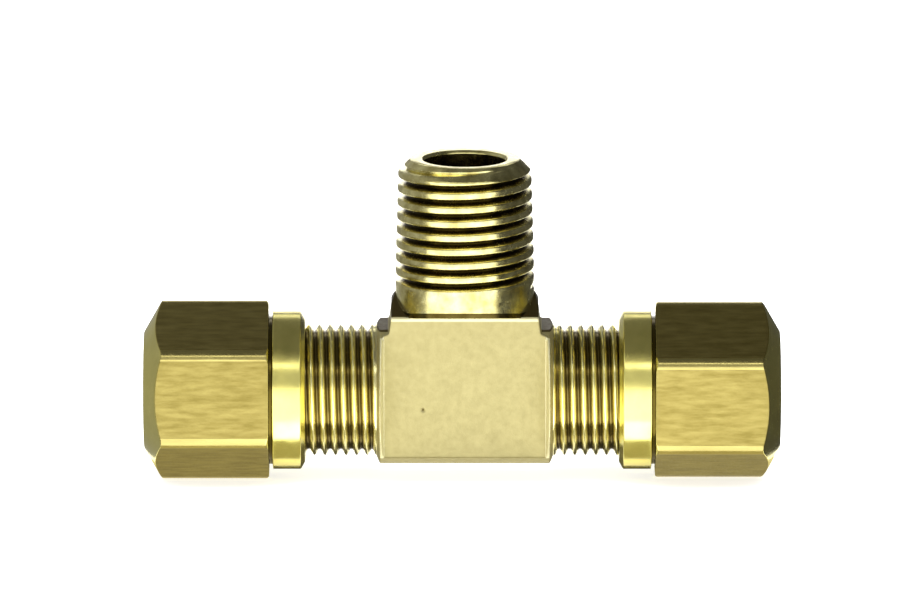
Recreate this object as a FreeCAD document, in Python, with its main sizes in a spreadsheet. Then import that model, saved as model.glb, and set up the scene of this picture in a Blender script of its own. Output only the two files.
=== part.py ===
import FreeCAD, Part
import math
import os
import re

import Sketcher

# Brass compression fitting: a male branch tee for 3/8 inch tube and a 1/4-18 NPT port.
# The origin is where the run axis (X) meets the branch axis (Z), and +Z points up the branch.
# Seven pieces: the forged tee body, two nuts, two sleeves and two tube supports.
# All lengths are millimetres and all angles are degrees. Both arms and all threads are right-hand.

DIMENSIONS = {
    # straight thread of the arms and nuts, 24 turns to the inch
    "run_pitch": 25.4 / 24,
    "run_major_r": 6.6,
    "run_minor_r": 5.98,
    "run_root_half": 0.08,
    "nut_minor_r": 6.2,
    "nut_major_r": 6.72,
    "thread_gap": 0.13,
    # tapered pipe thread of the branch, 18 turns to the inch, 1 in 16 on the diameter
    "pipe_pitch": 25.4 / 18,
    "pipe_major_r": 6.63,
    "pipe_minor_r": 5.68,
    "pipe_root_half": 0.07,
    "pipe_taper": 1 / 32,
    "pipe_groove_z": 10.82,
    "flank_angle": 30.0,
    "cut_clear": 0.03,
    # forged body between the arms
    "barrel_r": 7.39,
    "shoulder_x": 8.5,
    "shoulder_foot_x": 8.85,
    "runout_x": 9.4,
    "web_half": 4.2,
    "recess_half": 8.15,
    "recess_top": 8.15,
    "recess_draft": 5.0,
    "boss_low_half": 8.15,
    "boss_low_z": 5.4,
    "boss_high_z": 6.35,
    "boss_step_half": 7.6,
    "boss_step_z": 6.55,
    "boss_top_half": 7.37,
    "boss_top_z": 9.1,
    "boss_ridge_half": 0.2,
    "shelf_z": 6.75,
    "shelf_half": 7.0,
    # branch above the body
    "neck_r": 6.95,
    "neck_flare_z": 10.2,
    "neck_under_z": 9.48,
    "branch_end_z": 23.6,
    "branch_chamfer": 1.15,
    "port_r": 4.05,
    "port_floor_z": 11.2,
    "port_lip": 0.25,
    "passage_r": 2.8,
    "passage_low_z": 2.9,
    "drill_point": 1.6,
    # arms
    "arm_end_x": 23.0,
    "arm_lip": 0.65,
    "socket_r": 4.85,
    "socket_floor_x": 16.2,
    "mouth_r": 5.6,
    "mouth_depth": 1.4,
    "run_bore_r": 2.4,
    "left_groove_x": -12.09,
    "right_groove_x": 10.8,
    # nuts, measured outwards from the end that faces the body
    "nut_length": 16.15,
    "nut_flats": 15.875,
    "nut_corner_r": 1.2,
    "collar_r": 7.95,
    "collar_length": 3.25,
    "collar_nose": 0.45,
    "collar_nose_r": 7.15,
    "undercut_r": 7.45,
    "undercut_width": 0.4,
    "end_face_r": 5.84,
    "corner_cut": 0.45,
    "nut_mouth_r": 6.75,
    "nut_mouth_depth": 0.55,
    "nut_thread_length": 9.2,
    "nut_relief_r": 6.85,
    "nut_relief_length": 1.2,
    "cavity_r": 6.3,
    "tube_hole_r": 5.05,
    "tube_hole_length": 3.0,
    "tube_hole_lip": 0.35,
    "left_nut_x": 15.95,
    "right_nut_x": 15.4,
    "left_nut_turn": 94.7,
    "right_nut_turn": 91.0,
    # sleeves
    "sleeve_bore_r": 4.8,
    "sleeve_outer_r": 5.75,
    "sleeve_tip_r": 5.05,
    "sleeve_front": 1.5,
    "sleeve_length": 5.6,
    "sleeve_seat_gap": 0.17,
    # tube supports
    "support_r": 3.1,
    "support_bore_r": 2.6,
    "support_flange_r": 4.7,
    "support_flange": 0.6,
    "support_length": 9.5,
    "support_lead": 0.25,
}

FULL_TURN = 360.0
HEX_SIDES = 6
OUTSIDE_R = 10.0  # beyond every nut corner, so a cut that starts here leaves nothing behind
LEAST_CHANGE = 0.01  # cubic millimetres a feature must add or remove to count as built

doc = FreeCAD.newDocument("CompressionTee")


def make_sheet():
    """Write every driving dimension to its own aliased cell."""
    sheet = doc.addObject("Spreadsheet::Sheet", "Dimensions")
    for row, (alias, value) in enumerate(DIMENSIONS.items(), start=1):
        sheet.set("A%d" % row, alias)
        sheet.set("B%d" % row, "%.6f" % value)
        sheet.setAlias("B%d" % row, alias)
    doc.recompute()
    return sheet


SHEET = make_sheet()


# ---------------------------------------------------------------- helpers

def linked(expression):
    """Turn each dimension's name in an expression into a reference to its cell."""
    return re.sub(r"[a-z_]+", lambda m: "Dimensions." * (m[0] in DIMENSIONS) + m[0], str(expression))


def value_of(expression):
    """The present value of an expression on the sheet."""
    result = SHEET.evalExpression(linked(expression))
    return float(getattr(result, "Value", result))


def new_body(label):
    body = doc.addObject("PartDesign::Body", label)
    body.Label = label
    return body


def plane_of(body, role):
    """One of the body's own origin planes."""
    return [feature for feature in body.Origin.OriginFeatures if feature.Role == role][0]


def outline(body, name, points, role="XZ_Plane", offset="0"):
    """A closed polygon whose corners are held from the sketch's origin by expressions on the sheet."""
    sketch = body.newObject("Sketcher::SketchObject", name)
    sketch.AttachmentSupport = (plane_of(body, role), [""])
    sketch.MapMode = "FlatFace"
    sketch.setExpression("AttachmentOffset.Base.z", linked(offset))
    corners = [FreeCAD.Vector(value_of(x), value_of(y), 0) for x, y in points]
    following = corners[1:] + corners[:1]
    sketch.addGeometry([Part.LineSegment(a, b) for a, b in zip(corners, following)], False)
    for i in range(len(corners)):
        after = (i + 1) % len(corners)
        sketch.addConstraint(Sketcher.Constraint("Coincident", i, 2, after, 1))
    for i, point in enumerate(points):
        for kind, expression in zip(("DistanceX", "DistanceY"), point):
            hold = Sketcher.Constraint(kind, -1, 1, i, 1, value_of(expression))
            index = sketch.addConstraint(hold)
            sketch.setExpression("Constraints[%d]" % index, linked(expression))
    return sketch


def settle(body, feature, cut):
    """Recompute, and stop if the feature failed or moved no metal the right way."""
    base = feature.BaseFeature
    before = base.Shape.Volume if base else 0.0
    doc.recompute()
    broken = "Invalid" in feature.State or "Error" in feature.State
    change = 0.0 if broken else feature.Shape.Volume - before
    if broken or (-change if cut else change) < LEAST_CHANGE:
        raise RuntimeError("%s %s: %s, change %.4f" % (body.Label, feature.Name, feature.State, change))


def revolve(body, name, points, axis="H_Axis", cut=False):
    """Turn a polygon a full circle about one axis of its own sketch, as metal or as a cut."""
    sketch = outline(body, name + "_sketch", points)
    feature = body.newObject("PartDesign::Groove" if cut else "PartDesign::Revolution", name)
    feature.Profile = sketch
    feature.ReferenceAxis = (sketch, [axis])
    feature.Angle = FULL_TURN
    settle(body, feature, cut)


def extrude(body, name, sketch, length, cut=False, both_ways=True, reverse=False, draft="0"):
    """Pad or pocket a sketch by a length bound to the sheet."""
    feature = body.newObject("PartDesign::Pocket" if cut else "PartDesign::Pad", name)
    feature.Profile = sketch
    feature.Type = 0
    feature.setExpression("Length", linked(length))
    feature.Midplane = both_ways
    feature.Reversed = reverse
    feature.setExpression("TaperAngle", linked(draft))
    settle(body, feature, cut)


def round_long_edges(body, name, radius):
    """Round every straight edge that runs along the body's own X axis."""
    base = body.Tip
    feature = body.newObject("PartDesign::Fillet", name)
    edges = [edge.firstVertex().Point - edge.lastVertex().Point for edge in base.Shape.Edges]
    parallel = [math.hypot(reach.y, reach.z) < LEAST_CHANGE for reach in edges]
    along = ["Edge%d" % (i + 1) for i in range(len(edges)) if parallel[i]]
    feature.Base = (base, along)
    feature.setExpression("Radius", linked(radius))
    settle(body, feature, cut=True)


def helical_groove(body, name, points, axis, pitch, height, cone="0"):
    """Cut a right-hand thread groove: the sketched section swept along a helix."""
    sketch = outline(body, name + "_sketch", points)
    feature = body.newObject("PartDesign::SubtractiveHelix", name)
    feature.Profile = sketch
    feature.ReferenceAxis = (sketch, [axis])
    feature.Mode = 0
    feature.setExpression("Pitch", linked(pitch))
    feature.setExpression("Height", linked(height))
    feature.setExpression("Angle", linked(cone))
    feature.LeftHanded = False
    feature.Reversed = False
    settle(body, feature, cut=True)


def groove_section(along, inner_r, inner_half, outer_r, outer_half):
    """The four corners of a thread groove centred at a place along the axis."""
    return [
        ("%s - (%s)" % (along, inner_half), inner_r),
        ("%s + (%s)" % (along, inner_half), inner_r),
        ("%s + (%s)" % (along, outer_half), outer_r),
        ("%s - (%s)" % (along, outer_half), outer_r),
    ]


def mirrored(points):
    """The same corners on the other side of the sketch's vertical axis, in reverse order."""
    return [("0 - (%s)" % x, y) for x, y in reversed(points)]


def whole_pitches(distance):
    """How many whole pitches of the arm thread fit in a distance, rounded down."""
    return math.floor(value_of("(%s) / run_pitch" % distance))


# ---------------------------------------------------------------- tee body

def make_tee_body():
    body = new_body("tee_body")
    make_run(body)
    make_web(body)
    make_branch(body)
    cut_recesses(body)
    cut_under_neck(body)
    cut_passages(body)
    threaded = "arm_end_x - runout_x"
    cut_run_thread(body, "left", "0 - arm_end_x - 2 * run_pitch", threaded + " + run_pitch")
    cut_run_thread(body, "right", "runout_x", threaded + " + run_pitch")
    cut_pipe_thread(body)
    return body


def make_web(body):
    """The flat-sided block between the arms, with a roof that runs up both sides of the branch's neck."""
    half = [
        ("boss_low_half", "0 - boss_low_z"),
        ("boss_low_half", "boss_high_z"),
        ("boss_step_half", "boss_step_z"),
        ("boss_top_half", "recess_top"),
        ("boss_top_half", "boss_top_z"),
        ("neck_r", "neck_flare_z"),
    ]
    extrude(body, "web", outline(body, "web_sketch", half + mirrored(half)), "2 * web_half")
    slope = [("web_half", "recess_top"), ("web_half", "neck_flare_z"), ("boss_ridge_half", "neck_flare_z")]
    for name, corners in (("back_slope", slope), ("front_slope", mirrored(slope))):
        wedge = outline(body, name + "_sketch", corners, role="YZ_Plane")
        extrude(body, name, wedge, "4 * boss_low_half", cut=True)


def make_run(body):
    """Both arms and the barrel between them, with the barrel's crown cut down to a flat shelf."""
    half = [
        ("shoulder_x", "barrel_r"),
        ("shoulder_foot_x", "run_major_r"),
        ("arm_end_x - arm_lip", "run_major_r"),
        ("arm_end_x", "run_major_r - arm_lip"),
        ("arm_end_x", "0"),
    ]
    revolve(body, "run", mirrored(half) + half)
    shelf = [
        ("shelf_half", "shelf_z"),
        ("shoulder_foot_x", "shelf_z"),
        ("shoulder_foot_x", "2 * shelf_z"),
        ("shelf_half", "2 * shelf_z"),
    ]
    for name, corners in (("right_shelf", shelf), ("left_shelf", mirrored(shelf))):
        extrude(body, name, outline(body, name + "_sketch", corners), "2 * barrel_r", cut=True)


def make_branch(body):
    """The turned neck and the conical blank of the pipe thread."""
    profile = [
        ("0", "0"),
        ("neck_r", "0"),
        ("neck_r", "branch_end_z - (neck_r - pipe_major_r) / pipe_taper"),
        ("pipe_major_r + branch_chamfer * pipe_taper", "branch_end_z - branch_chamfer"),
        ("pipe_major_r - branch_chamfer", "branch_end_z"),
        ("0", "branch_end_z"),
    ]
    revolve(body, "branch", profile, axis="V_Axis")


def cut_recesses(body):
    """The drafted recess that leaves a flat pad on the front and on the back."""
    floor = [
        ("recess_half", "0 - 2 * barrel_r"),
        ("recess_half", "recess_top"),
        ("0 - recess_half", "recess_top"),
        ("0 - recess_half", "0 - 2 * barrel_r"),
    ]
    for name, offset, outwards in (("front_recess", "web_half", True), ("back_recess", "0 - web_half", False)):
        sketch = outline(body, name + "_sketch", floor, offset=offset)
        extrude(body, name, sketch, "2 * barrel_r", True, False, outwards, "recess_draft")


def cut_under_neck(body):
    """The sloping underside of the neck, where it stands out over the pads."""
    slope = [("web_half", "recess_top"), ("boss_top_half", "neck_under_z"), ("boss_top_half", "recess_top")]
    for name, corners in (("back_under_neck", slope), ("front_under_neck", mirrored(slope))):
        wedge = outline(body, name + "_sketch", corners, role="YZ_Plane")
        extrude(body, name, wedge, "2 * boss_top_half", cut=True)


def cut_passages(body):
    """The run bore, the tube sockets with their conical mouths, and the stepped branch bore."""
    half = [
        ("socket_floor_x", "run_bore_r"),
        ("socket_floor_x", "socket_r"),
        ("arm_end_x - mouth_depth", "socket_r"),
        ("arm_end_x", "mouth_r"),
        ("arm_end_x + 1", "mouth_r"),
        ("arm_end_x + 1", "0"),
    ]
    revolve(body, "run_passage", mirrored(half) + half, cut=True)
    port = [
        ("0", "0 - passage_low_z - drill_point"),
        ("passage_r", "0 - passage_low_z"),
        ("passage_r", "port_floor_z - port_r + passage_r"),
        ("port_r", "port_floor_z"),
        ("port_r", "branch_end_z - port_lip"),
        ("port_r + port_lip", "branch_end_z"),
        ("port_r + port_lip", "branch_end_z + 1"),
        ("0", "branch_end_z + 1"),
    ]
    revolve(body, "branch_passage", port, axis="V_Axis", cut=True)


def cut_run_thread(body, side, start, height):
    """One arm's thread. The groove passes through fixed places along the run, so it starts at one of them."""
    # the section stands a quarter turn round from the angle at which the groove's place is stated
    groove_at = "(%s_groove_x + run_pitch / 4)" % side
    centre = "%s + %d * run_pitch" % (groove_at, 1 + whole_pitches("%s - (%s)" % (start, groove_at)))
    outer = "run_major_r + cut_clear"
    flank = "run_root_half + (%s - run_minor_r) * tan(flank_angle * 1deg)" % outer
    section = groove_section(centre, "run_minor_r", "run_root_half", outer, flank)
    helical_groove(body, side + "_thread", section, "H_Axis", "run_pitch", height)


def cut_pipe_thread(body):
    """The tapered pipe thread, from the neck up past the end face."""
    outer = "pipe_major_r + cut_clear"
    flank = "pipe_root_half + (%s - pipe_minor_r) * tan(flank_angle * 1deg)" % outer
    section = groove_section("pipe_groove_z", "pipe_minor_r", "pipe_root_half", outer, flank)
    widen = "(branch_end_z - pipe_groove_z) * pipe_taper"
    points = [("%s + %s" % (r, widen), z) for z, r in section]
    height = "branch_end_z - pipe_groove_z + pipe_pitch"
    helical_groove(body, "pipe_thread", points, "V_Axis", "pipe_pitch", height, "-1 * atan(pipe_taper)")


# ---------------------------------------------------------------- nuts

def make_nut(side):
    """A long hexagon nut with a round collar. Its own X axis runs from the collar outwards."""
    body = new_body(side + "_nut")
    make_hexagon(body)
    make_collar(body)
    cut_nut_bore(body)
    cut_nut_thread(body, side)
    return body


def make_hexagon(body):
    """The hexagon, with its long edges rounded and its corners chamfered at both ends."""
    hex_start = "collar_length + undercut_width"
    corner_r = "nut_flats / 2 / cos(30 * 1deg)"
    corners = []
    for i in range(HEX_SIDES):
        turn = i * FULL_TURN / HEX_SIDES
        corners.append(("%s * cos(%g * 1deg)" % (corner_r, turn), "%s * sin(%g * 1deg)" % (corner_r, turn)))
    sketch = outline(body, "hexagon_sketch", corners, role="YZ_Plane", offset=hex_start)
    extrude(body, "hexagon", sketch, "nut_length - (%s)" % hex_start, both_ways=False)
    round_long_edges(body, "rounded_corners", "nut_corner_r")
    slope = "tan(flank_angle * 1deg)"
    outer_end = [
        ("nut_length", "end_face_r"),
        ("nut_length", OUTSIDE_R),
        ("nut_length - (%g - end_face_r) * %s" % (OUTSIDE_R, slope), OUTSIDE_R),
    ]
    revolve(body, "outer_chamfer", outer_end, cut=True)
    cut_r = "%s - corner_cut" % corner_r
    inner_end = [
        (hex_start, cut_r),
        (hex_start, OUTSIDE_R),
        ("%s + (%g - (%s)) * %s" % (hex_start, OUTSIDE_R, cut_r, slope), OUTSIDE_R),
    ]
    revolve(body, "inner_chamfer", inner_end, cut=True)


def make_collar(body):
    """The round collar and the narrow undercut between it and the hexagon."""
    profile = [
        ("0", "0"),
        ("0", "collar_nose_r"),
        ("collar_nose", "collar_r"),
        ("collar_length", "collar_r"),
        ("collar_length", "undercut_r"),
        ("collar_length + 2 * undercut_width", "undercut_r"),
        ("collar_length + 2 * undercut_width", "0"),
    ]
    revolve(body, "collar", profile)


def cut_nut_bore(body):
    """Thread bore, relief, sleeve cavity, conical seat and tube hole, in one turned cut."""
    seat_end = "nut_length - tube_hole_length"
    relief_end = "nut_thread_length + nut_relief_length"
    profile = [
        ("0 - 1", "0"),
        ("0 - 1", "nut_mouth_r"),
        ("0", "nut_mouth_r"),
        ("nut_mouth_depth", "nut_minor_r"),
        ("nut_thread_length", "nut_minor_r"),
        ("nut_thread_length", "nut_relief_r"),
        (relief_end, "nut_relief_r"),
        (relief_end, "cavity_r"),
        ("%s - cavity_r + tube_hole_r" % seat_end, "cavity_r"),
        (seat_end, "tube_hole_r"),
        ("nut_length - tube_hole_lip", "tube_hole_r"),
        ("nut_length", "tube_hole_r + tube_hole_lip"),
        ("nut_length + 1", "tube_hole_r + tube_hole_lip"),
        ("nut_length + 1", "0"),
    ]
    revolve(body, "bore", profile, cut=True)


def cut_nut_thread(body, side):
    """The internal thread, whose grooves hold the arm's ridges with a gap all round them."""
    to_own_x = {
        "right": "right_groove_x - right_nut_x + run_pitch / 2 + run_pitch * right_nut_turn / 360",
        "left": "0 - left_nut_x - left_groove_x - run_pitch / 2 + run_pitch * (left_nut_turn - 180) / 360",
    }
    # a section drawn on the vertical plane stands a quarter turn round from the angle's zero
    own_x = "%s + run_pitch / 4" % to_own_x[side]
    centre = "%s - %d * run_pitch" % (own_x, 2 + whole_pitches(own_x))
    slope = "tan(flank_angle * 1deg)"
    ridge_at_minor = "run_pitch / 2 - run_root_half - (nut_minor_r - run_minor_r) * %s" % slope
    inner_r = "nut_minor_r - thread_gap"
    inner_half = "%s + thread_gap + thread_gap * %s" % (ridge_at_minor, slope)
    outer_half = "%s + thread_gap - (nut_major_r - nut_minor_r) * %s" % (ridge_at_minor, slope)
    section = groove_section(centre, inner_r, inner_half, "nut_major_r", outer_half)
    height = "nut_thread_length + 2 * run_pitch"
    helical_groove(body, "thread", section, "H_Axis", "run_pitch", height)


# ---------------------------------------------------------------- sleeves and tube supports

def make_sleeve(side):
    """The ferrule: a ring with a slow taper towards the body and a steep one towards the nut."""
    body = new_body(side + "_sleeve")
    profile = [
        ("0", "sleeve_bore_r"),
        ("0", "sleeve_tip_r"),
        ("sleeve_front", "sleeve_outer_r"),
        ("sleeve_length - sleeve_outer_r + sleeve_tip_r", "sleeve_outer_r"),
        ("sleeve_length", "sleeve_tip_r"),
        ("sleeve_length", "sleeve_bore_r"),
    ]
    revolve(body, "ring", profile)
    return body


def make_support(side):
    """The flanged insert that keeps plastic tube round under the sleeve."""
    body = new_body(side + "_tube_support")
    profile = [
        ("0", "support_bore_r"),
        ("0", "support_flange_r"),
        ("support_flange", "support_flange_r"),
        ("support_flange", "support_r"),
        ("support_length - support_lead", "support_r"),
        ("support_length", "support_r - support_lead"),
        ("support_length", "support_bore_r"),
    ]
    revolve(body, "insert", profile)
    return body


def place(body, side, distance, turn="0"):
    """Stand a piece on its arm: turned about the run axis, then moved out to its distance."""
    spin = FreeCAD.Rotation(FreeCAD.Vector(1, 0, 0), value_of(turn))
    about = FreeCAD.Rotation(FreeCAD.Vector(0, 0, 1), 180.0 if side == "left" else 0.0)
    body.Placement = FreeCAD.Placement(FreeCAD.Vector(0, 0, 0), about.multiply(spin))
    body.setExpression("Placement.Base.x", linked("%s (%s)" % ("0 -" if side == "left" else "0 +", distance)))


def make_side(side):
    """The three pieces that sit on one arm."""
    nut = make_nut(side)
    place(nut, side, side + "_nut_x", side + "_nut_turn")
    sleeve = make_sleeve(side)
    seated = "%s_nut_x + nut_length - tube_hole_length + tube_hole_r - sleeve_tip_r" % side
    place(sleeve, side, seated + " - sleeve_seat_gap - sleeve_length")
    support = make_support(side)
    place(support, side, "socket_floor_x")
    return [nut, sleeve, support]


def check_and_export(bodies):
    """Stop on any failed object or bad shape, and only then write the files."""
    doc.recompute()
    for item in doc.Objects:
        if "Invalid" in item.State or "Error" in item.State:
            raise RuntimeError("%s failed: %s" % (item.Label, item.State))
    for body in bodies:
        shape = body.Shape
        if shape.isNull() or not shape.isValid() or len(shape.Solids) != 1:
            raise RuntimeError("bad shape: " + body.Label)
    os.makedirs("parts", exist_ok=True)
    for body in bodies:
        body.Shape.exportStep("parts/%s.step" % body.Label)
        print(body.Label, "volume", round(body.Shape.Volume, 2), "faces", len(body.Shape.Faces))


check_and_export([make_tee_body()] + make_side("left") + make_side("right"))
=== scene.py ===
import math

import bmesh
import bpy
import numpy as np
from mathutils import Matrix, Vector


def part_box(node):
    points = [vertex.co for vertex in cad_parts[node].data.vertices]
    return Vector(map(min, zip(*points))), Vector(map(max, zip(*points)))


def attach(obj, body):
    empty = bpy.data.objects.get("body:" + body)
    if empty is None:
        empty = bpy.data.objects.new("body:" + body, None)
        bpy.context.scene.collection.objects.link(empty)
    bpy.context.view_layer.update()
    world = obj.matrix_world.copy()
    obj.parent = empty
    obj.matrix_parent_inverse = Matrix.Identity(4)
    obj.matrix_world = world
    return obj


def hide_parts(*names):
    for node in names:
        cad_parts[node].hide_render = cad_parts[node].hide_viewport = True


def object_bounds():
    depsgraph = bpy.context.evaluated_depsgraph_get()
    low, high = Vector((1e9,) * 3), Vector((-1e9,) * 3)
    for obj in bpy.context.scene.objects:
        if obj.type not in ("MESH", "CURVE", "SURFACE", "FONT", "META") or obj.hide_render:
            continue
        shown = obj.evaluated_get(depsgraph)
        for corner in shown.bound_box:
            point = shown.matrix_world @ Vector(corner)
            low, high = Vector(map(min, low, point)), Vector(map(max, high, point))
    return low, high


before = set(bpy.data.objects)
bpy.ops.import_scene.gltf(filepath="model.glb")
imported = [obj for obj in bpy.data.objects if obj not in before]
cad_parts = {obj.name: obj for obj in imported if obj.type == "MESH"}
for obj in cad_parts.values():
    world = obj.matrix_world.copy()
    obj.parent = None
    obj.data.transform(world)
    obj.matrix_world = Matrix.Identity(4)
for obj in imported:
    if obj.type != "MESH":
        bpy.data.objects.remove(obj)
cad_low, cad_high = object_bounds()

# A brass male branch tee for 3/8 inch tube. Meshes are drawn in millimetres, then scaled to metres.
# The origin is where the run axis (X) meets the branch axis (Z).
MM = 0.001
TURN = 2 * math.pi
FLANK = math.tan(math.radians(30))

# straight thread of the arms, and of the nuts that run on them
RUN_PITCH = 25.4 / 24
RUN_MAJOR = 6.6
RUN_MINOR = 5.98
RUN_ROOT = 0.08
NUT_MINOR = 6.2
NUT_MAJOR = 6.72
NUT_RIDGE = 0.077
# tapered thread of the branch, whose first turn fades in, and its port
PIPE_PITCH = 25.4 / 18
PIPE_MAJOR = 6.63
PIPE_DEPTH = 0.95
CREST_DROP = 0.2
GROOVE_HALF = 0.46
FADE_START, FADE_TURNS = -0.06, 0.2
PIPE_TAPER = 1 / 32
PIPE_GROOVE = 10.82
PIPE_END = 23.6
PIPE_CHAMFER = 1.15
PIPE_START = 10.4
PORT = 4.05
PORT_RIM, PORT_LIP = 0.7, 0.25
PORT_FLOOR = 11.2
PASSAGE = 2.8
BRANCH_ROUND, BRANCH_ROWS = 176, 26
# neck under the thread: its skin belongs to the branch's piece, and the forging is sunk beneath it
NECK = 6.95
NECK_END = 10.35
NECK_GAP = 0.02
NECK_ROUND = 0.04
NECK_INSET = 0.5
NECK_SINK = 0.1
SINK_INNER, SINK_OUTER = 0.35, 0.04
UNDER_NECK = 0.2126
# rows at the neck's foot: how high its painted shade reaches, and where that shade has faded
NECK_SHADE_BAND, NECK_SHADE_END = 0.48, 0.58
# forging: where it is cut off, its two pads, the walls and shelves at the pads' ends, and one pit
SHOULDER_FOOT = 8.85
BLOCK_SIDE = 8.82
BLOCK_TOP = 10.25
WELD = 1e-4
VOXEL = 0.09
SMOOTHINGS = 4
PAD_TOP = 8.15
PAD_HALF = 4.2
WALL_NEAR, WALL_FAR, WALL_TOP = 8.08, 8.47, 6.6
WALL_EDGE = 0.08
SHELF_X = 7.65
TOP_EDGE, TOP_EDGE_DROP, TOP_EDGE_HALF = 0.25, 0.1, 0.2
PIT = (-4.18, -1.19)
PIT_RADIUS = 0.17
PIT_DEPTH = 0.2
# arms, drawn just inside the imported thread
ARM_ROUND, ARM_ROWS = 160, 22
ARM_ROOT = 8.6
ARM_SINK = 0.01
THREAD_FADE = 0.4
ARM_END = 23.0
ARM_LIP = 0.65
SOCKET = 4.85
SOCKET_FLOOR = 16.2
MOUTH = 5.6
MOUTH_DEPTH = 1.4
MOUTH_LAND = 0.3
RUN_BORE = 2.4
# where along the run each arm's groove crosses its zero angle, at the back
GROOVE = {"left": -12.09, "right": 10.8}
# nuts, measured outwards from the end that faces the body, where they stand and how they are turned
NUT_ROWS = 16
NUT_LENGTH = 16.15
NUT_FLATS = 15.875
NUT_CORNER = 1.21
COLLAR = 7.95
COLLAR_LENGTH = 3.25
COLLAR_NOSE = 0.45
COLLAR_NOSE_R = 7.15
UNDERCUT = 7.45
UNDERCUT_WIDTH = 0.4
END_FACE = 5.84
CORNER_CUT = 0.45
NUT_MOUTH = 6.75
NUT_MOUTH_DEPTH = 0.55
# how far into the nut's mouth no painted shade lies
NUT_MOUTH_UNSHADED = 0.3
NUT_THREAD = 9.2
NUT_RELIEF = 6.85
NUT_RELIEF_LENGTH = 1.2
CAVITY = 6.3
TUBE_HOLE = 5.05
TUBE_HOLE_LENGTH = 3.0
TUBE_HOLE_LIP = 0.35
HEX_GAP = 0.01
NUT_X = {"left": 15.95, "right": 15.4}
NUT_TURN = {"left": 94.7, "right": 91.0}
# sleeves and tube supports
RING_ROUND = 128
SLEEVE_BORE = 4.8
SLEEVE_OUTER = 5.75
SLEEVE_TIP = 5.05
SLEEVE_FRONT = 1.5
SLEEVE_LENGTH = 5.6
SUPPORT = 3.1
SUPPORT_BORE = 2.6
SUPPORT_FLANGE = 4.7
FLANGE_WIDTH = 0.6
SUPPORT_LENGTH = 9.5
SUPPORT_LEAD = 0.25

# kept with each mesh: how dark a point is painted as shade, 0 on a crest to 1 at a root, and how bright
# it is painted as highlight
SHADE_ATTRIBUTE = "painted_shade"
HIGHLIGHT_ATTRIBUTE = "painted_highlight"
# painted shade in bores, undercuts and at the neck's foot, in the port, in thread roots, under the
# neck, on roofs, shelves and in the pit
DEEP_SHADE = 0.9
PORT_SHADE = 0.7
ARM_GROOVE_SHADE = 0.8
UNDER_NECK_SHADE = 0.95
ROOF_SHADE = 0.85
SHELF_SHADE = 0.75
PIT_SHADE = 0.8
# painted highlight on the pads' top edges and on the side walls
TOP_EDGE_HIGHLIGHT = 0.7
WALL_HIGHLIGHT = 1.0
# margins that tell a surface from the next one
CLOSE, NEAR = 0.05, 0.1


# ---------------------------------------------------------------- mesh helpers

# lengths too short to matter, and the steps that round each corner of a path
TINY, MERGED = 1e-6, 1e-5
ROUND_STEPS = 4
ROWS_PER_CORNER = ROUND_STEPS + 3


def even_angles(count):
    return np.linspace(0, TURN, count + 1)


def between(values, low, high):
    return (values > low) & (values < high)


def soft_min(a, b, blend):
    """The smaller of two heights, rounded where they cross."""
    near = np.maximum(blend - np.abs(a - b), 0) / blend
    return np.minimum(a, b) - near * near * blend / 4


def soft_max(a, b, blend):
    return -soft_min(-a, -b, blend)


def soften(corners, radius):
    """Rows of points along a path of corners, each rounded and with a row close on either side."""
    longest_share, outlier = 0.4, 1.2
    rows = [corners[0]]
    for before, here, after in zip(corners, corners[1:], corners[2:]):
        back, ahead = before - here, after - here
        back_length = np.maximum(np.linalg.norm(back, axis=0), TINY)
        ahead_length = np.maximum(np.linalg.norm(ahead, axis=0), TINY)
        reach = np.minimum(radius, longest_share * np.minimum(back_length, ahead_length))
        start = here + back / back_length * reach
        end = here + ahead / ahead_length * reach
        rows.append(here + back / back_length * reach * outlier)
        for step in range(ROUND_STEPS + 1):
            share = step / ROUND_STEPS
            rows.append((1 - share) ** 2 * start + 2 * share * (1 - share) * here + share ** 2 * end)
        rows.append(here + ahead / ahead_length * reach * outlier)
    rows.append(corners[-1])
    return rows


def middle_row(corner):
    """The row amid a corner's rounding, given the corner's place in its path, counted from 0."""
    return 1 + ROWS_PER_CORNER * (corner - 1) + ROWS_PER_CORNER // 2


def path(points, angles):
    """Corner points (along, radius) as arrays with one column to each angle."""
    corners = []
    for point in points:
        corners.append(np.array([np.broadcast_to(value, angles.shape) for value in point], float))
    return corners


def helix_rows(start, end, pitch, angles, per_pitch, radius_at):
    """Rows that climb with a thread, cut square at both ends."""
    first = math.floor(start / pitch - 1) * per_pitch
    last = math.ceil(end / pitch) * per_pitch
    rows = []
    for i in range(first, last + 1):
        along = np.clip(pitch * (i / per_pitch + angles / TURN), start, end)
        rows.append(np.array([along, radius_at(along, angles)]))
    return rows


def from_groove(along, angles, groove, pitch):
    """How far a point lies from the nearest turn of a groove, and which turn that is."""
    turns = (along - groove) / pitch - angles / TURN
    nearest = np.round(turns)
    return np.abs(turns - nearest) * pitch, nearest + angles / TURN


def new_object(name, data):
    thing = bpy.data.objects.new(name, data)
    bpy.context.scene.collection.objects.link(thing)
    return thing


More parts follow.
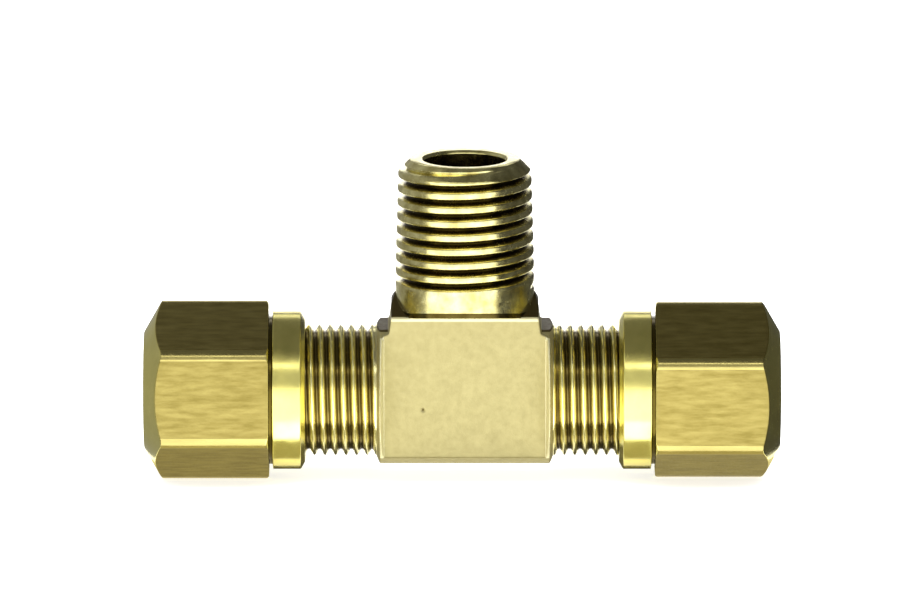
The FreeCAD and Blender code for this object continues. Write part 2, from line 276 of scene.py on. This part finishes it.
def turned_piece(name, rows, angles, axis="X", place=Matrix.Identity(4), finish_of=None, shade_at=None):
    """A closed mesh from rows of points round an axis, the last row joined to the first."""
    across, up = np.cos(angles), np.sin(angles)
    points = []
    for along, radius in rows:
        circle = [radius * across, radius * up]
        around = [along] + circle if axis == "X" else circle + [along]
        points.append(np.array(around).T)
    mesh = bpy.data.meshes.new(name)
    work = bmesh.new()
    layer = work.verts.layers.float.new(SHADE_ATTRIBUTE)
    grid = [[work.verts.new(point) for point in row] for row in points]
    if shade_at:
        for row, verts in zip(rows, grid):
            for vert, depth in zip(verts, shade_at(row[0], row[1])):
                vert[layer] = depth
    for i, row in enumerate(grid):
        following = grid[(i + 1) % len(grid)]
        for j in range(len(row) - 1):
            face = work.faces.new((row[j], row[j + 1], following[j + 1], following[j]))
            face.smooth = True
            face.material_index = finish_of(i, j) if finish_of else 0
    bmesh.ops.remove_doubles(work, verts=work.verts, dist=MERGED)
    bmesh.ops.dissolve_degenerate(work, edges=work.edges, dist=TINY)
    bmesh.ops.recalc_face_normals(work, faces=work.faces)
    work.to_mesh(mesh)
    work.free()
    mesh.transform(Matrix.Scale(MM, 4) @ place)
    return new_object(name, mesh)


# ---------------------------------------------------------------- brass finishes

def noise(nodes, links, scale, detail=3.0, stretch=(1, 1, 1)):
    """A noise texture in the piece's own coordinates, finer along the axes that are stretched."""
    where = nodes.new("ShaderNodeTexCoord")
    mapping = nodes.new("ShaderNodeMapping")
    mapping.inputs["Scale"].default_value = [scale * s for s in stretch]
    texture = nodes.new("ShaderNodeTexNoise")
    texture.inputs["Scale"].default_value = 1.0
    texture.inputs["Detail"].default_value = detail
    links.new(where.outputs["Object"], mapping.inputs["Vector"])
    links.new(mapping.outputs["Vector"], texture.inputs["Vector"])
    return texture.outputs["Fac"]


def ramp(nodes, links, source, stops):
    """Colours or greys spread over a source's values."""
    node = nodes.new("ShaderNodeValToRGB")
    elements = node.color_ramp.elements
    for element, (position, colour) in ((elements[0], stops[0]), (elements[-1], stops[-1])):
        element.position = position
        element.color = (*colour, 1)
    for position, colour in stops[1:-1]:
        elements.new(position).color = (*colour, 1)
    links.new(source, node.inputs["Fac"])
    return node.outputs["Color"]


def bump(nodes, links, height, distance, below=None):
    node = nodes.new("ShaderNodeBump")
    node.inputs["Strength"].default_value = 1.0
    node.inputs["Distance"].default_value = distance
    links.new(height, node.inputs["Height"])
    if below:
        links.new(below, node.inputs["Normal"])
    return node.outputs["Normal"]


def stored(nodes, name):
    """A value that was kept with each point of the mesh."""
    node = nodes.new("ShaderNodeAttribute")
    node.attribute_name = name
    return node.outputs["Fac"]


def grey(level):
    return (level, level, level)


# what the painted shade multiplies the colour by, and the part of a noise's range that a finish is
# spread over
SHADE_STOPS = [(0.35, grey(1)), (0.7, (0.25, 0.21, 0.13)), (1.0, (0.05, 0.04, 0.02))]
NOISE_LOW, NOISE_HIGH = 0.3, 0.7
# how much finer the gloss wanders than the colour
GLOSS_SCALE = 2.3


def brass(name, dark, light, roughness, tone_scale, marks, grain=(1, 1, 1), metallic=1.0, highlight_colour=None):
    """Brass whose colour and gloss wander, darkened by painted shade, with layers of fine relief.

    Each layer of relief is (scale, stretch, height in millimetres). The grain stretches the colour,
    and the further colour, if given, is a painted highlight laid where the mesh stores one.
    """
    material = bpy.data.materials.new(name)
    material.use_nodes = True
    nodes, links = material.node_tree.nodes, material.node_tree.links
    shader = nodes["Principled BSDF"]
    shader.inputs["Metallic"].default_value = metallic
    tone = noise(nodes, links, tone_scale, detail=4.0, stretch=grain)
    colour = ramp(nodes, links, tone, [(NOISE_LOW, dark), (NOISE_HIGH, light)])
    # painted highlight: the further colour mixed in where the mesh stores it
    if highlight_colour:
        worn = nodes.new("ShaderNodeMix")
        worn.data_type = "RGBA"
        worn.inputs["B"].default_value = (*highlight_colour, 1)
        links.new(stored(nodes, HIGHLIGHT_ATTRIBUTE), worn.inputs["Factor"])
        links.new(colour, worn.inputs["A"])
        colour = worn.outputs["Result"]
    # painted shade: the colour multiplied darker where the mesh stores it
    shaded = nodes.new("ShaderNodeMix")
    shaded.data_type = "RGBA"
    shaded.blend_type = "MULTIPLY"
    shaded.inputs["Factor"].default_value = 1.0
    links.new(colour, shaded.inputs["A"])
    links.new(ramp(nodes, links, stored(nodes, SHADE_ATTRIBUTE), SHADE_STOPS), shaded.inputs["B"])
    links.new(shaded.outputs["Result"], shader.inputs["Base Color"])
    gloss = noise(nodes, links, tone_scale * GLOSS_SCALE)
    smooth, dull = roughness
    gloss_stops = [(NOISE_LOW, grey(smooth)), (NOISE_HIGH, grey(dull))]
    links.new(ramp(nodes, links, gloss, gloss_stops), shader.inputs["Roughness"])
    normal = None
    for scale, stretch, height in marks:
        relief = noise(nodes, links, scale, detail=2.0, stretch=stretch)
        normal = bump(nodes, links, relief, height * MM, normal)
    links.new(normal, shader.inputs["Normal"])
    return material


EVEN = (1, 1, 1)
ALONG_X = (0.02, 1, 1)
AROUND_X = (1, 0.02, 0.02)
AROUND_Z = (0.02, 0.02, 1)

FORGED = brass(
    "forged_brass",
    dark=(0.37, 0.325, 0.145),
    light=(0.41, 0.36, 0.165),
    roughness=(0.46, 0.58),
    tone_scale=900,
    marks=[(9000, EVEN, 0.012), (1500, EVEN, 0.014)],
    metallic=0.9,
    # colour of the painted highlight on the pads' top edges and the side walls
    highlight_colour=(0.85, 0.80, 0.50),
)
TURNED_RUN = brass(
    "turned_brass_run",
    dark=(0.74, 0.66, 0.19),
    light=(0.88, 0.79, 0.25),
    roughness=(0.16, 0.26),
    tone_scale=300,
    marks=[(9000, AROUND_X, 0.004), (900, EVEN, 0.004)],
)
THREADED_RUN = brass(
    "threaded_brass_run",
    dark=(0.78, 0.71, 0.32),
    light=(0.92, 0.85, 0.43),
    roughness=(0.16, 0.26),
    tone_scale=300,
    marks=[(9000, AROUND_X, 0.004), (900, EVEN, 0.004)],
)
TURNED_BRANCH = brass(
    "turned_brass_branch",
    dark=(0.50, 0.43, 0.15),
    light=(0.92, 0.85, 0.40),
    roughness=(0.16, 0.28),
    tone_scale=700,
    marks=[(9000, AROUND_Z, 0.004), (900, EVEN, 0.004)],
)
DRAWN = brass(
    "drawn_brass",
    dark=(0.23, 0.182, 0.045),
    light=(0.35, 0.287, 0.086),
    roughness=(0.30, 0.44),
    tone_scale=2200,
    marks=[(7000, ALONG_X, 0.007), (1500, (0.3, 1, 1), 0.012)],
    grain=(0.2, 1, 1),
)
WORN_RIDGE = brass(
    "worn_ridge_brass",
    dark=(0.42, 0.35, 0.115),
    light=(0.54, 0.46, 0.16),
    roughness=(0.17, 0.27),
    tone_scale=900,
    marks=[(9000, ALONG_X, 0.004), (900, EVEN, 0.004)],
    grain=(0.2, 1, 1),
)


def dress(piece, body, slot, nodes, *materials):
    for material in materials:
        piece.data.materials.append(material)
    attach(piece, body)
    if nodes:
        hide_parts(*nodes)


# ---------------------------------------------------------------- tee body

def make_block():
    """The forged middle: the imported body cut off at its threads, with rounded edges."""
    work = bmesh.new()
    work.from_mesh(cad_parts["tee_body"].data)
    bmesh.ops.scale(work, vec=(1 / MM,) * 3, verts=work.verts)
    bmesh.ops.remove_doubles(work, verts=work.verts, dist=WELD)
    for reach, outwards in ((BLOCK_SIDE, (1, 0, 0)), (BLOCK_SIDE, (-1, 0, 0)), (BLOCK_TOP, (0, 0, 1))):
        cut = bmesh.ops.bisect_plane(
            work,
            geom=work.verts[:] + work.edges[:] + work.faces[:],
            plane_co=Vector(outwards) * reach,
            plane_no=outwards,
            clear_outer=True,
        )
        rim = [item for item in cut["geom_cut"] if isinstance(item, bmesh.types.BMEdge)]
        bmesh.ops.triangle_fill(work, edges=rim, use_beauty=True)
    bmesh.ops.recalc_face_normals(work, faces=work.faces)
    rough = bpy.data.meshes.new("rough_block")
    work.to_mesh(rough)
    work.free()
    blank = new_object("rough_block", rough)
    remesh = blank.modifiers.new("remesh", "REMESH")
    remesh.mode = "VOXEL"
    remesh.voxel_size = VOXEL
    smooth = blank.modifiers.new("smooth", "SMOOTH")
    smooth.factor = 0.5
    smooth.iterations = SMOOTHINGS
    shape = blank.evaluated_get(bpy.context.evaluated_depsgraph_get())
    mesh = bpy.data.meshes.new_from_object(shape)
    bpy.data.objects.remove(blank)
    sink_and_paint_block(mesh)
    mesh.transform(Matrix.Scale(MM, 4))
    mesh.shade_smooth()
    dress(new_object("tee_forging", mesh), "tee", "body_brass", ["tee_body"], FORGED)


def neck_foot(across_pads):
    """Height of the neck's lower edge, which rises over the undersides in front and behind."""
    return PAD_TOP + NECK_GAP + UNDER_NECK * np.maximum(NECK * np.abs(across_pads) - PAD_HALF, 0)


def sink_and_paint_block(mesh):
    """Sink the block inside the neck's skin, press a pit in the front pad, and store painted shade and
    painted highlight.
    """
    count = len(mesh.vertices)
    flat = np.empty(count * 3)
    mesh.vertices.foreach_get("co", flat)
    x, y, z = flat.reshape(count, 3).T
    wide, deep = np.abs(x), np.abs(y)
    out = np.hypot(x, y)
    above_foot = z > neck_foot(y / np.maximum(out, 1)) - NECK_GAP
    in_neck = between(out, NECK - SINK_INNER, NECK + SINK_OUTER) & above_foot
    sunk = np.where(in_neck, 1 - NECK_SINK / NECK, 1)
    away = np.sqrt((x - PIT[0]) ** 2 + (y + PAD_HALF) ** 2 + (z - PIT[1]) ** 2) / PIT_RADIUS
    pit = np.exp(-np.minimum(away, 9) ** 2)
    mesh.vertices.foreach_set("co", np.array([x * sunk, y * sunk + PIT_DEPTH * pit, z]).T.ravel())
    # painted shade under the neck, on the roofs above the pads, on the shelves at their ends and in the
    # pit
    proud = deep > PAD_HALF + NEAR
    under_neck = proud & (z > PAD_TOP + CLOSE)
    roofs = z > PAD_TOP + NEAR
    shelves = (z > WALL_TOP) & (wide > SHELF_X)
    dark_places = [under_neck, roofs, shelves]
    shade_level = np.select(dark_places, [UNDER_NECK_SHADE, ROOF_SHADE, SHELF_SHADE], default=PIT_SHADE * pit)
    # painted highlight along the pads' top edges and on the side walls
    by_top = np.abs(z - PAD_TOP + TOP_EDGE_DROP) < TOP_EDGE_HALF
    top_edge = ~proud & (deep > PAD_HALF - TOP_EDGE) & by_top
    side_walls = (deep > PAD_HALF - WALL_EDGE) & between(wide, WALL_NEAR, WALL_FAR) & (z < WALL_TOP)
    painted_highlight = np.select([top_edge, side_walls], [TOP_EDGE_HIGHLIGHT, WALL_HIGHLIGHT], default=0.0)
    for attribute, values in ((SHADE_ATTRIBUTE, shade_level), (HIGHLIGHT_ATTRIBUTE, painted_highlight)):
        mesh.attributes.new(attribute, "FLOAT", "POINT").data.foreach_set("value", values)


def arm_radius(side):
    """The arm's thread, which fades out at the forging and is cut back at the arm's end."""

    def radius_at(along, angles):
        away, _ = from_groove(along, angles, GROOVE[side], RUN_PITCH)
        flank = RUN_MINOR + (away - RUN_ROOT) / FLANK
        crest = soft_min(RUN_MAJOR, ARM_END - np.abs(along) + RUN_MAJOR - ARM_LIP, blend=0.1)
        cut = soft_min(soft_max(flank, RUN_MINOR, blend=0.05), crest, blend=0.22)
        depth = np.clip((np.abs(along) - SHOULDER_FOOT) / THREAD_FADE, 0, 1)
        return crest - depth * (crest - cut) - ARM_SINK

    return radius_at


def make_arm(side):
    """One threaded arm with its tube socket, from inside the forging to the end face."""
    angles = even_angles(ARM_ROUND)
    sign = -1 if side == "left" else 1
    near, far = sorted((sign * ARM_ROOT, sign * ARM_END))
    rows = helix_rows(near, far, RUN_PITCH, angles, ARM_ROWS, arm_radius(side))
    inside = [
        (ARM_END, MOUTH + MOUTH_LAND),
        (ARM_END, MOUTH),
        (ARM_END - MOUTH_DEPTH, SOCKET),
        (SOCKET_FLOOR, SOCKET),
        (SOCKET_FLOOR, RUN_BORE),
        (ARM_ROOT, RUN_BORE),
    ]
    mirrored = [(sign * along, radius) for along, radius in inside]
    back = soften(path(mirrored, angles), radius=0.06)
    if side == "left":
        rows.reverse()

    # painted shade: the socket dark, and the thread darker towards its roots
    def shade_at(along, radius):
        on_thread = (np.abs(along) > SHOULDER_FOOT) & (radius > RUN_MINOR - CLOSE)
        depth = ARM_GROOVE_SHADE * (RUN_MAJOR - radius) / (RUN_MAJOR - RUN_MINOR)
        return np.where(radius < SOCKET + NEAR, DEEP_SHADE, np.where(on_thread, depth, 0))

    piece = turned_piece(side + "_arm", rows + back, angles, shade_at=shade_at)
    dress(piece, "tee", "body_brass", [], THREADED_RUN)


def pipe_radius(along, angles):
    """The tapered thread, its crests worn broad and round and its grooves narrow."""
    widen = (PIPE_END - along) * PIPE_TAPER
    away, turns = from_groove(along, angles, PIPE_GROOVE, PIPE_PITCH)
    depth = np.clip((turns - FADE_START) / FADE_TURNS, 0, 1)
    crest = soft_min(PIPE_MAJOR + widen, NECK, blend=0.05)
    from_crest = 1 - away / (PIPE_PITCH / 2)
    groove = (PIPE_DEPTH - CREST_DROP) * np.cos(np.clip(away / GROOVE_HALF, 0, 1) * math.pi / 2) ** 2
    cut = crest - depth * (groove + CREST_DROP * from_crest ** 2)
    chamfer = PIPE_END - along + PIPE_MAJOR - PIPE_CHAMFER
    return soft_min(cut, chamfer, blend=0.12)


def make_branch():
    """The turned neck, the tapered thread and the bored port."""
    angles = even_angles(BRANCH_ROUND)
    foot = neck_foot(np.sin(angles))
    neck_points = [
        (foot, NECK - NECK_INSET),
        (foot, NECK),
        (foot + NECK_SHADE_BAND, NECK),
        (foot + NECK_SHADE_END, NECK),
        (NECK_END, NECK),
    ]
    neck = soften(path(neck_points, angles), radius=NECK_ROUND)
    thread = helix_rows(PIPE_START, PIPE_END, PIPE_PITCH, angles, BRANCH_ROWS, pipe_radius)
    inside = [
        (PIPE_END, PORT + PORT_RIM),
        (PIPE_END, PORT + PORT_LIP),
        (PIPE_END - PORT_LIP, PORT),
        (PORT_FLOOR, PORT),
        (PORT_FLOOR - PORT + PASSAGE, PASSAGE),
        (foot, PASSAGE),
    ]
    bore = soften(path(inside, angles), radius=0.08)

    # painted shade: the port, a band at the neck's foot, and the thread darker towards its roots
    def shade_at(along, radius):
        crest = np.minimum(PIPE_MAJOR + (PIPE_END - along) * PIPE_TAPER, NECK)
        outside = radius > (PORT + NECK) / 2
        on_thread = outside & between(along, PIPE_START, PIPE_END - PIPE_CHAMFER)
        in_bore = (along < PIPE_END - PORT_LIP - CLOSE) & (radius < PORT + NEAR)
        by_foot = (along < foot + NECK_SHADE_BAND + NECK_ROUND) & (radius > NECK - NECK_INSET + NEAR)
        depth = np.where(on_thread, (crest - radius) / PIPE_DEPTH, 0)
        return np.where(in_bore, PORT_SHADE, np.where(by_foot, DEEP_SHADE, depth))

    piece = turned_piece("branch_thread", neck + thread + bore, angles, axis="Z", shade_at=shade_at)
    dress(piece, "tee", "body_brass", [], TURNED_BRANCH)


# ---------------------------------------------------------------- nuts

def hexagon_angles():
    """Angles round a nut, close together at the corners of its hexagon."""
    after_corner = np.array([0.0, 0.7, 1.4, 2.1, 2.7, 3.3, 3.85, 4.3])
    across_flat = np.arange(6.0, 54.1, 2.4)
    before_corner = 60 - after_corner[:0:-1]
    sixth = np.concatenate([after_corner, across_flat, before_corner])
    whole = np.concatenate([sixth + 60 * i for i in range(6)] + [[360.0]])
    return np.radians(whole)


def corner_reach():
    """How far round from a corner of the hexagon its rounding goes."""
    return TURN / 12 - math.atan((NUT_FLATS / 2 - NUT_CORNER) * math.tan(TURN / 12) / (NUT_FLATS / 2))


def from_nearest_corner(angles):
    return (angles + TURN / 12) % (TURN / 6) - TURN / 12


def hexagon_radius(angles):
    """Distance from the axis to the hexagon, with rounded corners."""
    half = NUT_FLATS / 2
    from_corner = from_nearest_corner(angles)
    flat = half / np.cos(TURN / 12 - np.abs(from_corner))
    centre = (half - NUT_CORNER) / math.cos(TURN / 12)
    inside = np.maximum(NUT_CORNER ** 2 - (centre * np.sin(from_corner)) ** 2, 0)
    rounded = centre * np.cos(from_corner) + np.sqrt(inside)
    return np.where(np.abs(from_corner) < corner_reach(), rounded, flat)


def nut_ridge(side):
    """Where the nut's thread ridge crosses its own zero angle, so that it lies in the arm's groove."""
    if side == "right":
        return GROOVE[side] - NUT_X[side] + RUN_PITCH * NUT_TURN[side] / 360
    return -NUT_X[side] - GROOVE[side] + RUN_PITCH * (NUT_TURN[side] - 180) / 360


def make_nut(side):
    """A long hexagon nut with a round collar: drawn flats, worn ridges between, and the rest turned."""
    angles = hexagon_angles()
    flat = hexagon_radius(angles)
    hex_start = COLLAR_LENGTH + UNDERCUT_WIDTH
    cut = NUT_FLATS / 2 / math.cos(TURN / 12) - CORNER_CUT
    outside = [
        (0.0, NUT_MOUTH),
        (0.0, COLLAR_NOSE_R),
        (COLLAR_NOSE, COLLAR),
        (COLLAR_LENGTH, COLLAR),
        (COLLAR_LENGTH, UNDERCUT),
        (hex_start, UNDERCUT),
        (hex_start, np.minimum(flat, cut) - HEX_GAP),
        (hex_start + np.maximum(flat - cut, 0) * FLANK + HEX_GAP, flat),
        (NUT_LENGTH - (flat - END_FACE) * FLANK, flat),
        (NUT_LENGTH, END_FACE),
        (NUT_LENGTH, TUBE_HOLE + TUBE_HOLE_LIP),
        (NUT_LENGTH - TUBE_HOLE_LIP, TUBE_HOLE),
        (NUT_LENGTH - TUBE_HOLE_LENGTH, TUBE_HOLE),
        (NUT_LENGTH - TUBE_HOLE_LENGTH - CAVITY + TUBE_HOLE, CAVITY),
        (NUT_THREAD + NUT_RELIEF_LENGTH, CAVITY),
        (NUT_THREAD + NUT_RELIEF_LENGTH, NUT_RELIEF),
        (NUT_THREAD, NUT_RELIEF),
        (NUT_THREAD, NUT_MAJOR),
    ]
    # the flats lie between the outline's points 7 and 8, counted from 0
    flats_start, flats_end = middle_row(7), middle_row(8)
    shell = soften(path(outside, angles), radius=0.1)

    def thread_radius(along, round_angles):
        away, _ = from_groove(along, round_angles, nut_ridge(side), RUN_PITCH)
        flank = NUT_MINOR + (away - NUT_RIDGE) / FLANK
        mouth = NUT_MOUTH - along * (NUT_MOUTH - NUT_MINOR) / NUT_MOUTH_DEPTH
        return soft_max(np.clip(flank, NUT_MINOR, NUT_MAJOR), mouth, blend=0.08)

    thread = helix_rows(0.0, NUT_THREAD, RUN_PITCH, angles, NUT_ROWS, thread_radius)
    thread.reverse()

    turned, drawn, ridge = range(3)
    middles = (angles[1:] + angles[:-1]) / 2
    on_flat = np.abs(from_nearest_corner(middles)) > corner_reach()

    def finish_of(row, column):
        if row < flats_start or row >= flats_end:
            return turned
        return drawn if on_flat[column] else ridge

    # painted shade: the undercut and the inside of the nut, short of its two ends
    def shade_at(along, radius):
        by_undercut = between(along, COLLAR_LENGTH - CLOSE, hex_start + CLOSE)
        past_ends = between(along, NUT_MOUTH_UNSHADED, NUT_LENGTH - TUBE_HOLE_LIP - CLOSE)
        inside = (radius < NUT_MAJOR) & past_ends
        return np.where(by_undercut & (radius < COLLAR - NEAR) | inside, DEEP_SHADE, 0)

    place = Matrix.Rotation(math.radians(NUT_TURN[side]), 4, "X")
    if side == "left":
        place = Matrix.Rotation(math.pi, 4, "Z") @ place
    place = Matrix.Translation((NUT_X[side] if side == "right" else -NUT_X[side], 0, 0)) @ place
    name = side + "_compression_nut"
    piece = turned_piece(name, shell + thread, angles, "X", place, finish_of, shade_at)
    dress(piece, side + "_nut", "nut_brass", [side + "_nut"], TURNED_RUN, DRAWN, WORN_RIDGE)


# ---------------------------------------------------------------- sleeves and tube supports

def make_ring(name, side, start, corners, body, slot, node):
    """A plain turned ring whose corners are given outwards along its arm."""
    angles = even_angles(RING_ROUND)
    sign = -1 if side == "left" else 1
    closed = [(sign * (start + along), radius) for along, radius in corners]
    closed = closed[-1:] + closed + closed[:1]
    rows = soften(path(closed, angles), radius=0.06)[1:-1]
    dress(turned_piece(name, rows, angles), body, slot, [node], TURNED_RUN)


def make_sleeve(side):
    node = side + "_sleeve"
    low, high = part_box(node)
    start = (low.x if side == "right" else -high.x) / MM
    corners = [
        (0, SLEEVE_BORE),
        (0, SLEEVE_TIP),
        (SLEEVE_FRONT, SLEEVE_OUTER),
        (SLEEVE_LENGTH - SLEEVE_OUTER + SLEEVE_TIP, SLEEVE_OUTER),
        (SLEEVE_LENGTH, SLEEVE_TIP),
        (SLEEVE_LENGTH, SLEEVE_BORE),
    ]
    make_ring(side + "_ferrule", side, start, corners, side + "_sleeve", "sleeve_brass", node)


def make_support(side):
    corners = [
        (0, SUPPORT_BORE),
        (0, SUPPORT_FLANGE),
        (FLANGE_WIDTH, SUPPORT_FLANGE),
        (FLANGE_WIDTH, SUPPORT),
        (SUPPORT_LENGTH - SUPPORT_LEAD, SUPPORT),
        (SUPPORT_LENGTH, SUPPORT - SUPPORT_LEAD),
        (SUPPORT_LENGTH, SUPPORT_BORE),
    ]
    node = side + "_tube_support"
    make_ring(side + "_tube_insert", side, SOCKET_FLOOR, corners, "tee", "support_brass", node)


# ---------------------------------------------------------------- studio

BLACK = grey(0)
WHITE = grey(1)
WARM = (1.0, 0.92, 0.58)


def rectangle(x0, x1, y0, y1, level):
    return [(x0, y0, level), (x1, y0, level), (x1, y1, level), (x0, y1, level)]


def plain_sheet(name, corners, colour, glow, tint=WHITE):
    """A flat sheet through the given corners, in metres: it takes light and gives some."""
    mesh = bpy.data.meshes.new(name)
    mesh.from_pydata(corners, [], [tuple(range(len(corners)))])
    sheet = new_object(name, mesh)
    material = bpy.data.materials.new(name)
    material.use_nodes = True
    shader = material.node_tree.nodes["Principled BSDF"]
    shader.inputs["Base Color"].default_value = (*colour, 1)
    shader.inputs["Roughness"].default_value = 1.0
    shader.inputs["Specular IOR Level"].default_value = 0.0
    shader.inputs["Emission Color"].default_value = (*tint, 1)
    shader.inputs["Emission Strength"].default_value = glow
    mesh.materials.append(material)
    return sheet


def mirrored_sheet(name, corners, glow, tint=WHITE):
    """A sheet that is seen only in what the brass reflects."""
    sheet = plain_sheet(name, corners, BLACK, glow, tint)
    sheet.visible_camera = False
    sheet.visible_diffuse = False
    sheet.visible_shadow = False
    sheet.visible_transmission = False


# the dim sheets are painted shadow of the floor under the run, seen only in the brass
# what the brass mirrors close to the run: name, reach in x and in y in metres, glow and tint
SHADES = [
    ("run_shade", -0.0193, 0.0188, -0.0093, -0.0044, 0.47, WARM),
    ("left_nut_shade", -0.033, -0.0194, -0.0093, 0.004, 0.80, WARM),
    ("right_nut_shade", 0.0189, 0.033, -0.0093, 0.004, 0.80, WARM),
    ("left_arm_shadow", -0.0194, -0.0092, -0.0022, 0.004, 0.12, WARM),
    ("right_arm_shadow", 0.0092, 0.0189, -0.0022, 0.004, 0.12, WARM),
    ("before_left_arm", -0.0193, -0.0090, -0.0175, -0.0096, 4.5, WHITE),
    ("before_right_arm", 0.0090, 0.0188, -0.0175, -0.0096, 4.5, WHITE),
]
# upright sheets at the sides: name, x, where the front edge is, and glow
FLAGS = [("left_flag", -0.05, -0.0266, 0.34), ("right_flag", 0.05, -0.041, 0.07)]
# how far the floor lies under the nuts, and how far one sheet lies over another
FLOOR_GAP = 0.00002
FAN_LIFT = 0.0003
PATCH_LIFT = 0.0001


def make_floor():
    """The floor, and the sheets close to it that only the brass reflects."""
    level = cad_low.z - FLOOR_GAP
    fan_level = level + FAN_LIFT
    patch_level = fan_level + PATCH_LIFT
    plain_sheet("floor", rectangle(-3.0, 3.0, -3.0, 3.0, level), grey(0.9), glow=0.65)
    near, far, half_near, spread = 0.010, 0.6, 0.016, math.tan(math.radians(50))
    fan = [
        (-half_near, -near, fan_level),
        (-far * spread, -far, fan_level),
        (far * spread, -far, fan_level),
        (half_near, -near, fan_level),
    ]
    mirrored_sheet("front_glow", fan, glow=2.5)
    for name, x0, x1, y0, y1, glow, tint in SHADES:
        mirrored_sheet(name, rectangle(x0, x1, y0, y1, patch_level), glow, tint)
    back, top, foot_front, foot_reach = 0.25, 0.12, -0.02, 0.034
    for name, x, front, glow in FLAGS:
        inner = math.copysign(foot_reach, x)
        upright = [(x, front, level), (x, back, level), (x, back, top), (x, front, top)]
        foot = [
            (inner, foot_front, fan_level),
            (x, front, fan_level),
            (x, back, fan_level),
            (inner, back, fan_level),
        ]
        mirrored_sheet(name, upright, glow)
        mirrored_sheet(name + "_foot", foot, glow)


def make_ceiling():
    """A broad soft light overhead, unseen by the camera and by the brass."""
    distance, elevation = 1.5, math.radians(80)
    light = bpy.data.lights.new("ceiling", "AREA")
    light.shape = "RECTANGLE"
    light.size, light.size_y = 1.6, 1.6
    light.energy = 42
    lamp = new_object("ceiling", light)
    back = Vector((0, -math.cos(elevation), math.sin(elevation)))
    lamp.location = back * distance
    lamp.rotation_mode = "QUATERNION"
    lamp.rotation_quaternion = back.to_track_quat("Z", "Y")
    lamp.visible_camera = False
    lamp.visible_glossy = False


# brightness of the room against height, from 0 at the horizon to 1 straight up, in front and elsewhere
FRONT_ROOM = [
    (0.00, 2.4),
    (0.20, 2.2),
    (0.27, 0.70),
    (0.60, 0.55),
    (0.68, 0.50),
    (0.705, 3.2),
    (0.755, 3.2),
    (0.78, 0.3),
    (0.92, 0.16),
]
BACK_ROOM = [
    (0.00, 2.2),
    (0.24, 2.2),
    (0.32, 0.16),
    (0.44, 0.16),
    (0.48, 1.5),
    (0.58, 1.5),
    (0.63, 0.16),
]
# the Y of a direction, negative towards the camera, where the front room begins and where it is all
FRONT_BEGINS, FRONT_FULL = -0.1, -0.55


def make_world():
    """The room that the brass mirrors: bright low in front, with one high strip, and dim overhead."""
    world = bpy.data.worlds.new("studio")
    world.use_nodes = True
    nodes, links = world.node_tree.nodes, world.node_tree.links
    where = nodes.new("ShaderNodeTexCoord")
    split = nodes.new("ShaderNodeSeparateXYZ")
    links.new(where.outputs["Generated"], split.inputs["Vector"])
    facing = nodes.new("ShaderNodeMapRange")
    facing.inputs["From Min"].default_value = FRONT_BEGINS
    facing.inputs["From Max"].default_value = FRONT_FULL
    links.new(split.outputs["Y"], facing.inputs["Value"])
    mix = nodes.new("ShaderNodeMix")
    mix.data_type = "RGBA"
    links.new(facing.outputs["Result"], mix.inputs["Factor"])
    for room, socket in ((BACK_ROOM, "A"), (FRONT_ROOM, "B")):
        stops = [(height, grey(brightness)) for height, brightness in room]
        links.new(ramp(nodes, links, split.outputs["Z"], stops), mix.inputs[socket])
    links.new(mix.outputs["Result"], nodes["Background"].inputs["Color"])
    bpy.context.scene.world = world


def make_studio():
    bpy.context.scene.view_settings.view_transform = "Standard"
    make_floor()
    make_world()
    make_ceiling()


def make_camera():
    """A long lens in front, twelve degrees above the run axis."""
    distance = 1.2
    width_shown = 0.09
    elevation = math.radians(12)
    aim = Vector((-1.48 * MM, 0, 9.16 * MM))
    back = Vector((0, -math.cos(elevation), math.sin(elevation)))
    camera = bpy.data.cameras.new("camera")
    camera.sensor_width = 36
    camera.lens = camera.sensor_width * distance / width_shown
    camera.clip_start, camera.clip_end = 0.1, 20
    stand = new_object("camera", camera)
    stand.location = aim + back * distance
    stand.rotation_mode = "QUATERNION"
    stand.rotation_quaternion = (-back).to_track_quat("-Z", "Y")
    bpy.context.scene.camera = stand


make_camera()
make_studio()
make_block()
make_branch()
for side in ("left", "right"):
    make_arm(side)
    make_nut(side)
    make_sleeve(side)
    make_support(side)
